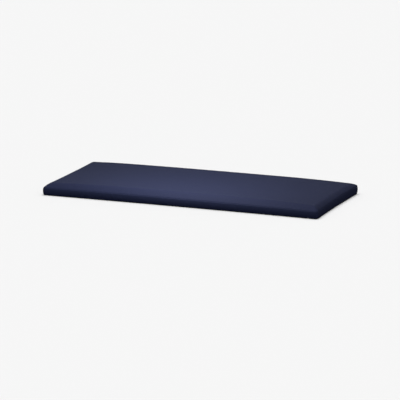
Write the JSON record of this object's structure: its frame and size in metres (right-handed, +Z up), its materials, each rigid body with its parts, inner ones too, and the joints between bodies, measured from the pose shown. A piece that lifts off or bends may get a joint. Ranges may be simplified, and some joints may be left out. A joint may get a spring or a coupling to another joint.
{
  "type": "bench cushion",
  "caption": "Long flat foam-filled seat cushion for a two-seat garden bench, with a crowned top, soft shoulders and a flat underside.",
  "frame": {"origin": "middle of the flat underside, on the surface that the cushion lies on", "axes": "+X along the length of the bench, -Y towards the front edge, +Z up through the crown"},
  "size_m": [1.1604, 0.4888, 0.0552],
  "materials": {
    "navy_cloth": "matt plain-woven outdoor polyester, dark navy, sewn with thread of the same colour"
  },
  "bodies": {
    "root": {"cushion": "navy_cloth"}
  },
  "joints": []
}
